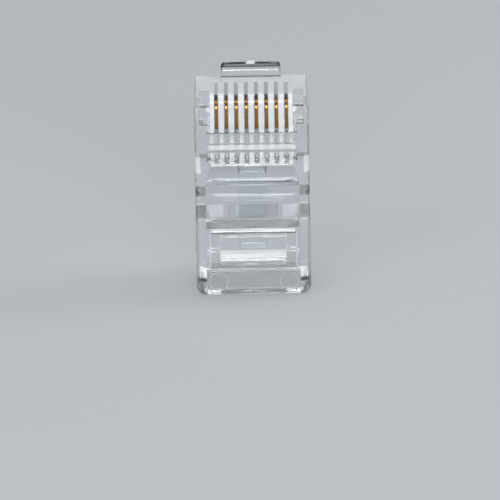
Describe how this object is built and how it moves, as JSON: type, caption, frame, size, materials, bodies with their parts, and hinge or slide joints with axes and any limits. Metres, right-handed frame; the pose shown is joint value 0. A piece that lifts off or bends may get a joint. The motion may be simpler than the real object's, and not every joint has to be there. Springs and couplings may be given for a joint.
{
  "type": "rj45 modular plug",
  "caption": "Clear unshielded modular plug, not yet crimped, with gold blade contacts in an open comb, a sprung latch, hinged cable clamps and an open cable entry.",
  "frame": {"origin": "middle of the flat cable-entry end face, on which the plug stands", "axes": "X across the row of contacts, +Y from the contact side to the latch side, +Z from the cable entry to the nose"},
  "size_m": [0.0116, 0.0106, 0.023],
  "materials": {
    "clear_polycarbonate": "clear, polished",
    "gold_plated_bronze": "gold over nickel"
  },
  "bodies": {
    "housing": {"housing": "clear_polycarbonate"},
    "latch": {"latch_lever": "clear_polycarbonate"},
    "conductor_clamp": {"conductor_clamp": "clear_polycarbonate"},
    "jacket_clamp": {"jacket_clamp": "clear_polycarbonate"},
    "contact_1": {"contact_1": "gold_plated_bronze"},
    "contact_2": {"contact_2": "gold_plated_bronze"},
    "contact_3": {"contact_3": "gold_plated_bronze"},
    "contact_4": {"contact_4": "gold_plated_bronze"},
    "contact_5": {"contact_5": "gold_plated_bronze"},
    "contact_6": {"contact_6": "gold_plated_bronze"},
    "contact_7": {"contact_7": "gold_plated_bronze"},
    "contact_8": {"contact_8": "gold_plated_bronze"}
  },
  "joints": [
    {"name": "latch_flex", "type": "hinge", "parent": "housing", "child": "latch", "pos_m": [0, 0.00285, 0.02196], "axis": [1, 0, 0], "range_deg": [-3.8, 0], "stiffness_Nm_per_rad": 0.25},
    {"name": "conductor_clamp_hinge", "type": "hinge", "parent": "housing", "child": "conductor_clamp", "pos_m": [0, -0.0019, 0.0139], "axis": [-1, 0, 0], "range_deg": [0, 50]},
    {"name": "jacket_clamp_hinge", "type": "hinge", "parent": "housing", "child": "jacket_clamp", "pos_m": [0, -0.0034, 0.00321], "axis": [-1, 0, 0], "range_deg": [0, 25]},
    {"name": "contact_1_press", "type": "slide", "parent": "housing", "child": "contact_1", "axis": [0, 1, 0], "range_m": [0, 0.0004]},
    {"name": "contact_2_press", "type": "slide", "parent": "housing", "child": "contact_2", "axis": [0, 1, 0], "range_m": [0, 0.0004]},
    {"name": "contact_3_press", "type": "slide", "parent": "housing", "child": "contact_3", "axis": [0, 1, 0], "range_m": [0, 0.0004]},
    {"name": "contact_4_press", "type": "slide", "parent": "housing", "child": "contact_4", "axis": [0, 1, 0], "range_m": [0, 0.0004]},
    {"name": "contact_5_press", "type": "slide", "parent": "housing", "child": "contact_5", "axis": [0, 1, 0], "range_m": [0, 0.0004]},
    {"name": "contact_6_press", "type": "slide", "parent": "housing", "child": "contact_6", "axis": [0, 1, 0], "range_m": [0, 0.0004]},
    {"name": "contact_7_press", "type": "slide", "parent": "housing", "child": "contact_7", "axis": [0, 1, 0], "range_m": [0, 0.0004]},
    {"name": "contact_8_press", "type": "slide", "parent": "housing", "child": "contact_8", "axis": [0, 1, 0], "range_m": [0, 0.0004]}
  ]
}
